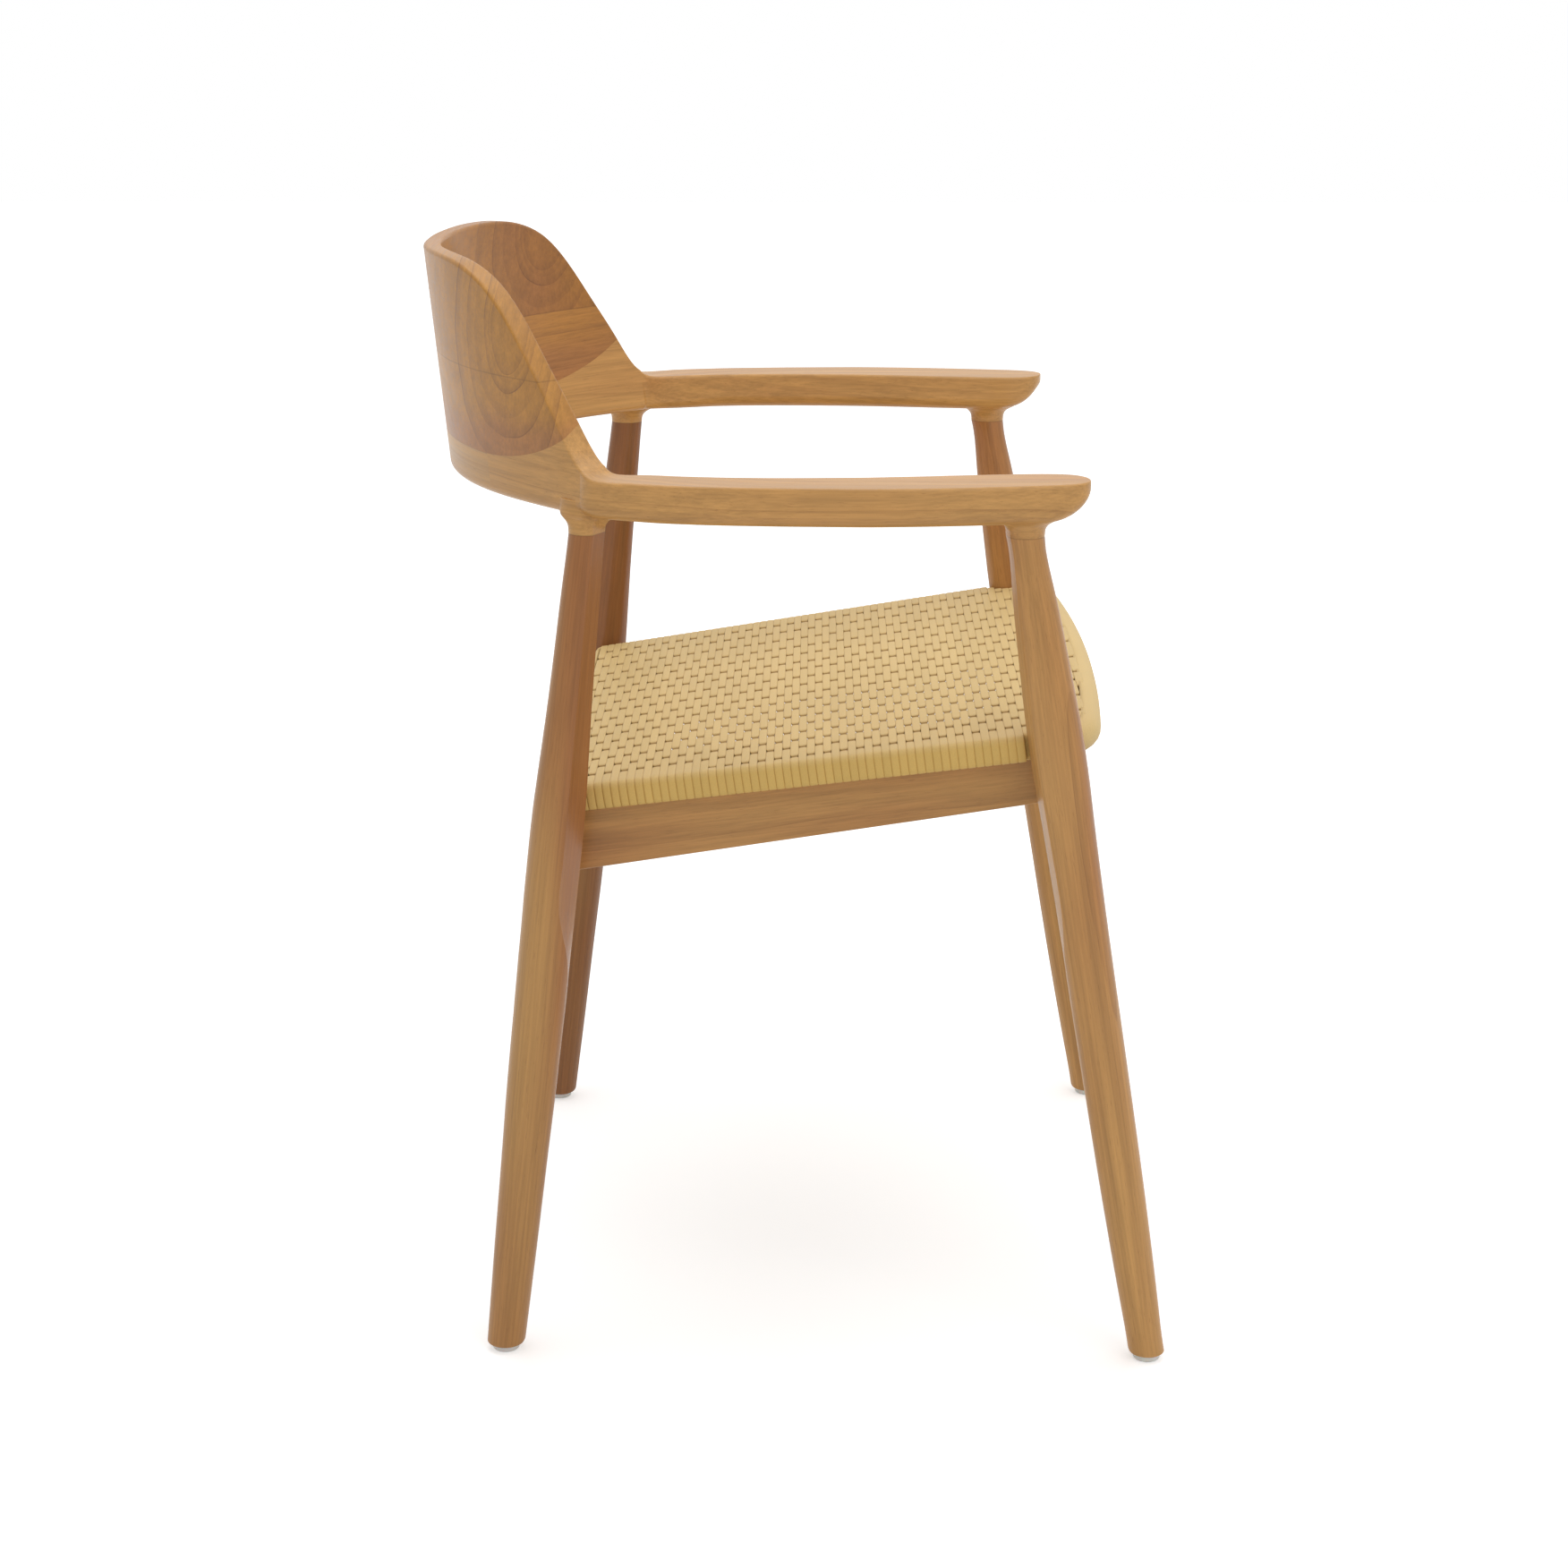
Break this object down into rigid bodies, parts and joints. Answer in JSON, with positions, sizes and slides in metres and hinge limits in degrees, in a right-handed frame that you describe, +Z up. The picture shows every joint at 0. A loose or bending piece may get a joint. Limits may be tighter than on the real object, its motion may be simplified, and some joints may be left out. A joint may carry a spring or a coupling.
{
  "type": "armchair",
  "caption": "Solid wood armchair with round tapered legs, flat carved arms that run into a low curved backrest, and a raked seat woven from flat cord.",
  "frame": {"origin": "on the floor, in the middle of the chair's outline seen from above", "axes": "+Z up, -Y towards the front of the seat, +X to the sitter's left"},
  "size_m": [0.5882, 0.5582, 0.8],
  "materials": {
    "oiled_hardwood": "oiled, fine grain",
    "plain_hardwood": "planed, unfinished",
    "woven_cord": "satin flat synthetic cord, woven",
    "nylon": "smooth, slightly translucent",
    "steel": "zinc plated"
  },
  "bodies": {
    "root": {"arm_left": "oiled_hardwood", "arm_right": "oiled_hardwood", "back_bow": "oiled_hardwood", "back_middle_board": "oiled_hardwood", "back_top_board": "oiled_hardwood", "leg_front_left": "oiled_hardwood", "leg_front_right": "oiled_hardwood", "leg_back_left": "oiled_hardwood", "leg_back_right": "oiled_hardwood", "front_rail": "oiled_hardwood", "back_rail": "oiled_hardwood", "side_rail_left": "oiled_hardwood", "side_rail_right": "oiled_hardwood", "seat_frame_front": "plain_hardwood", "seat_frame_back": "plain_hardwood", "seat_frame_left": "plain_hardwood", "seat_frame_right": "plain_hardwood", "corner_block_front_left": "plain_hardwood", "corner_block_front_right": "plain_hardwood", "corner_block_back_left": "plain_hardwood", "corner_block_back_right": "plain_hardwood", "board_dowels": "plain_hardwood", "bow_dowels": "plain_hardwood", "woven_seat": "woven_cord", "glide_front_left": "nylon", "glide_front_right": "nylon", "glide_back_left": "nylon", "glide_back_right": "nylon", "glide_nails": "steel", "block_screws": "steel", "seat_screws": "steel"}
  },
  "joints": []
}
